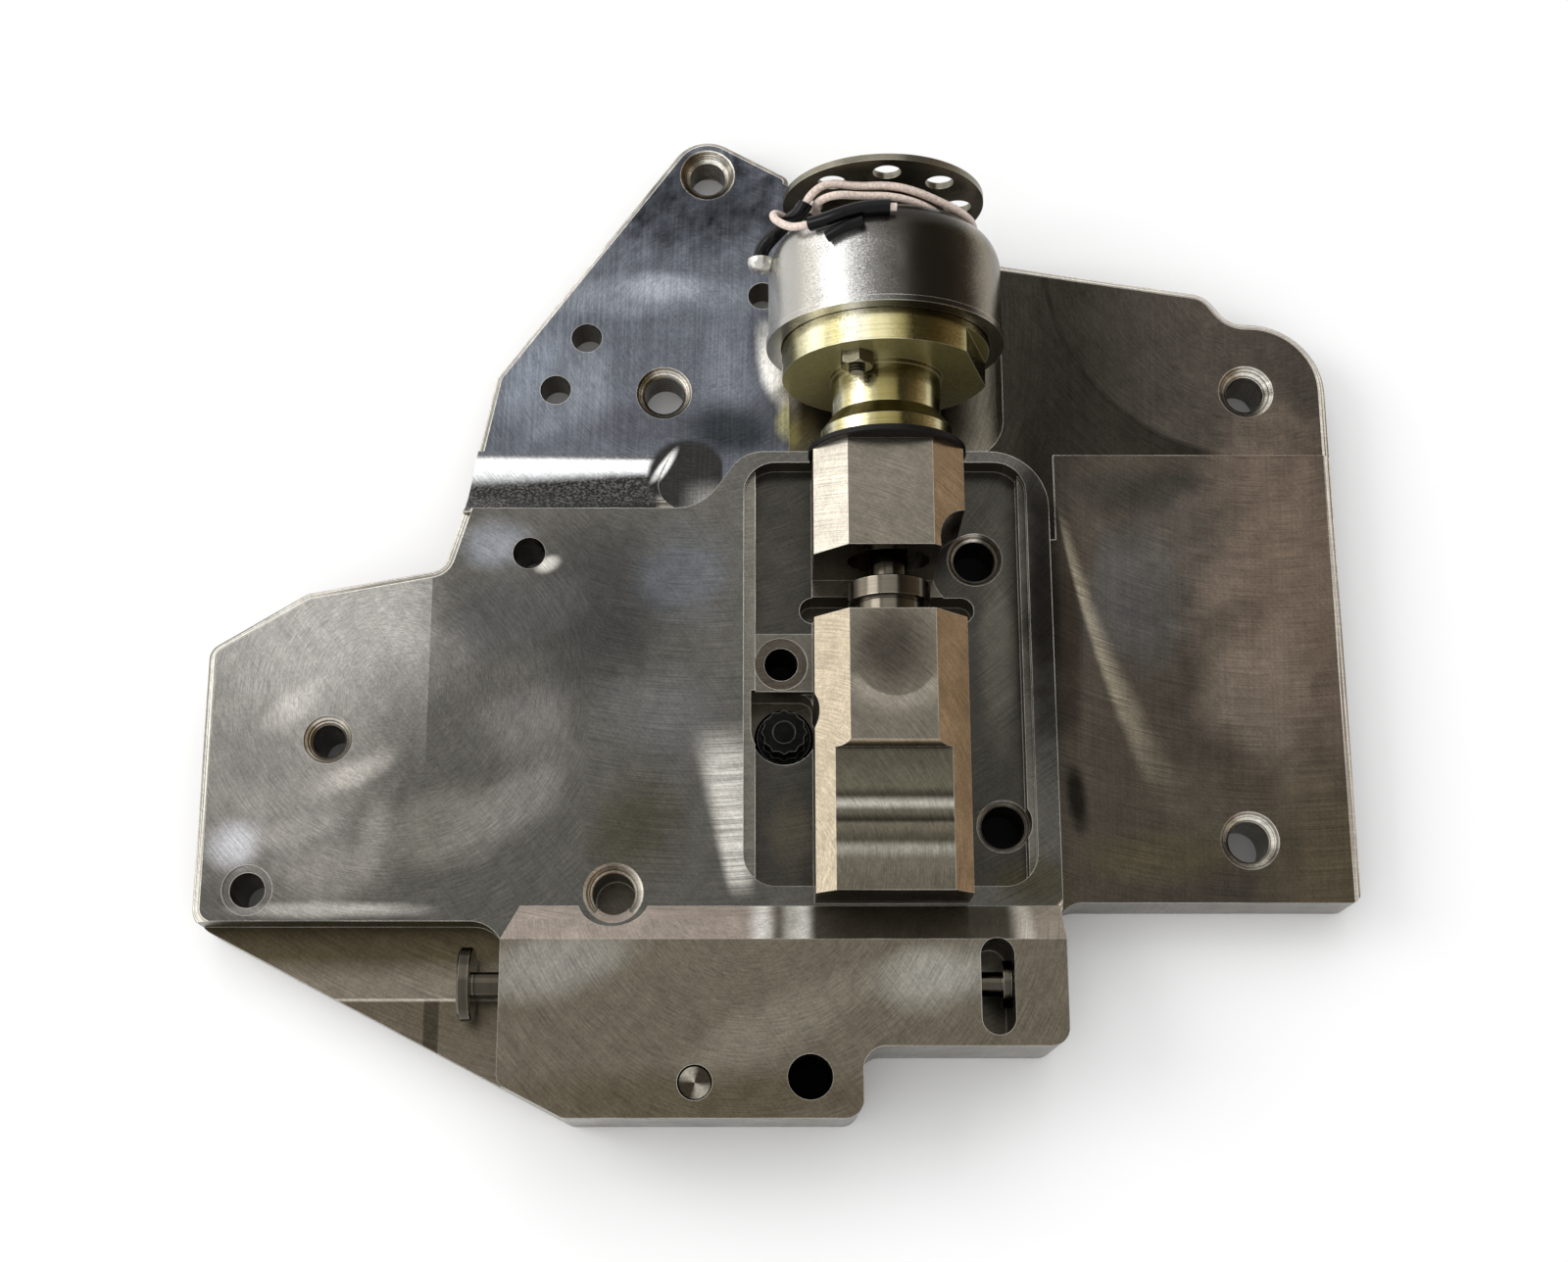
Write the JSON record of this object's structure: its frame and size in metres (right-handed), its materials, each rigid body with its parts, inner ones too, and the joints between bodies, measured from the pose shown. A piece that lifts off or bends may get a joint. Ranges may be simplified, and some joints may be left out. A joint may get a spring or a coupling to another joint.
{
  "type": "valve body plate",
  "caption": "Milled aluminium valve body plate with stepped faces, an octagonal boss that holds a solenoid valve, and a raised block with a sliding push rod",
  "frame": {"origin": "middle of the plate's outline, on its back face", "axes": "+Z out of the milled side, +X to the right with the solenoid at the top, +Y from the block to the solenoid"},
  "size_m": [0.2642, 0.242, 0.0602],
  "materials": {
    "milled_aluminium": "milled and brushed",
    "black_steel": "black oxide",
    "ground_steel": "ground",
    "yellow_passivate": "yellow passivated steel",
    "bright_plating": "bright speckled plating",
    "dark_bronze": "dark plated steel",
    "black_rubber": "smooth",
    "black_sleeving": "satin",
    "wire_insulation": "matte",
    "bobbin_plastic": "matte",
    "copper_winding": "enamelled copper"
  },
  "bodies": {
    "housing": {"base_plate": "milled_aluminium", "flange_bolt": "black_steel", "bore_plug": "ground_steel", "seal_washer": "black_rubber", "mounting_flange": "yellow_passivate", "flange_stud": "black_steel", "flange_nut": "ground_steel", "solenoid_can": "bright_plating", "end_disc": "dark_bronze", "rear_core": "ground_steel", "coil_bobbin": "bobbin_plastic", "coil_winding": "copper_winding", "spool_spring": "ground_steel", "lead_wire_long": "wire_insulation", "lead_wire_short": "wire_insulation", "lead_loop": "wire_insulation", "exit_sleeve": "black_sleeving", "shoulder_sleeve": "black_sleeving", "cover_sleeve": "black_sleeving"},
    "push_rod": {"push_rod": "ground_steel"},
    "spool": {"valve_spool": "ground_steel", "plunger_stem": "ground_steel", "armature": "ground_steel"}
  },
  "joints": [
    {"name": "rod_slide", "type": "slide", "parent": "housing", "child": "push_rod", "axis": [1, 0, 0], "range_m": [0, 0.006]},
    {"name": "spool_slide", "type": "slide", "parent": "housing", "child": "spool", "axis": [0, -1, 0], "range_m": [0, 0.0035], "stiffness_N_per_m": 1500, "springref_m": -0.002, "deforming": ["spool_spring"]}
  ]
}
